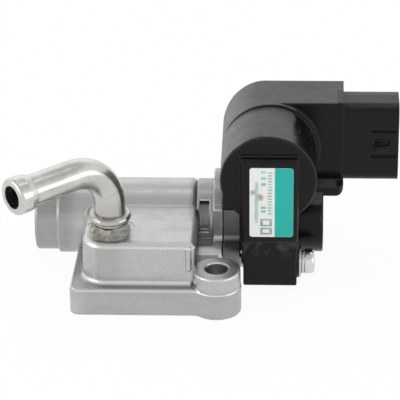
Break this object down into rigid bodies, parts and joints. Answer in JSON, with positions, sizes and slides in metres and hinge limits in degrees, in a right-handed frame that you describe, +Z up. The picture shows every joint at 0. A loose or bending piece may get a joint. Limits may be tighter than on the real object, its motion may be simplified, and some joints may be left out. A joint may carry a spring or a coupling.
{
  "type": "idle air control valve",
  "caption": "Rotary idle air control valve with a cast body, a bent coolant pipe, air ports in its mounting face and a plastic coil housing with a connector.",
  "frame": {"origin": "on the mounting face, below the valve axis and level with the front bolt hole", "axes": "+X from the valve barrel's closed end towards the motor and connector, +Y away from the coolant block, +Z up from the mounting face"},
  "size_m": [0.1108, 0.0745, 0.0499],
  "materials": {
    "cast_aluminium": "satin",
    "plated_steel": "satin",
    "sealant": "matte",
    "plug_steel": "satin",
    "seal_rubber": "matte",
    "gasket_rubber": "matte",
    "base_aluminium": "satin",
    "black_plastic": "satin",
    "plug_plastic": "satin",
    "bobbin_plastic": "satin",
    "enamelled_copper": "satin",
    "core_steel": "satin",
    "tinned_brass": "satin",
    "shaft_steel": "polished",
    "magnet_ferrite": "matte",
    "valve_metal": "satin",
    "lever_steel": "satin",
    "bearing_steel": "polished",
    "screw_steel": "polished",
    "washer_steel": "satin",
    "label_film": "satin"
  },
  "bodies": {
    "housing": {"valve_body": "cast_aluminium", "hose_pipe": "plated_steel", "pipe_sealant": "sealant", "bore_plug": "plug_steel", "air_port_seal": "seal_rubber", "coolant_seal": "seal_rubber", "base_gasket": "gasket_rubber", "motor_base_plate": "base_aluminium", "coil_housing": "black_plastic", "rotor_case_plug": "plug_plastic", "coil_bobbin": "bobbin_plastic", "coil_winding": "enamelled_copper", "core_laminations": "core_steel", "terminal_top": "tinned_brass", "terminal_middle": "tinned_brass", "terminal_bottom": "tinned_brass", "bearing_outer_rings": "bearing_steel", "bearing_balls": "bearing_steel", "shaft_seal": "seal_rubber", "motor_screws": "screw_steel", "spring_washers": "washer_steel", "flat_washers": "washer_steel", "label": "label_film"},
    "rotor": {"rotor_shaft": "shaft_steel", "rotor_magnet": "magnet_ferrite", "rotary_valve": "valve_metal", "stop_lever": "lever_steel", "bearing_inner_rings": "bearing_steel"}
  },
  "joints": [
    {"name": "valve_rotation", "type": "hinge", "parent": "housing", "child": "rotor", "pos_m": [-0.018, 0, 0.0137], "axis": [1, 0, 0], "range_deg": [-32, 32], "stiffness_Nm_per_rad": 0.005}
  ]
}
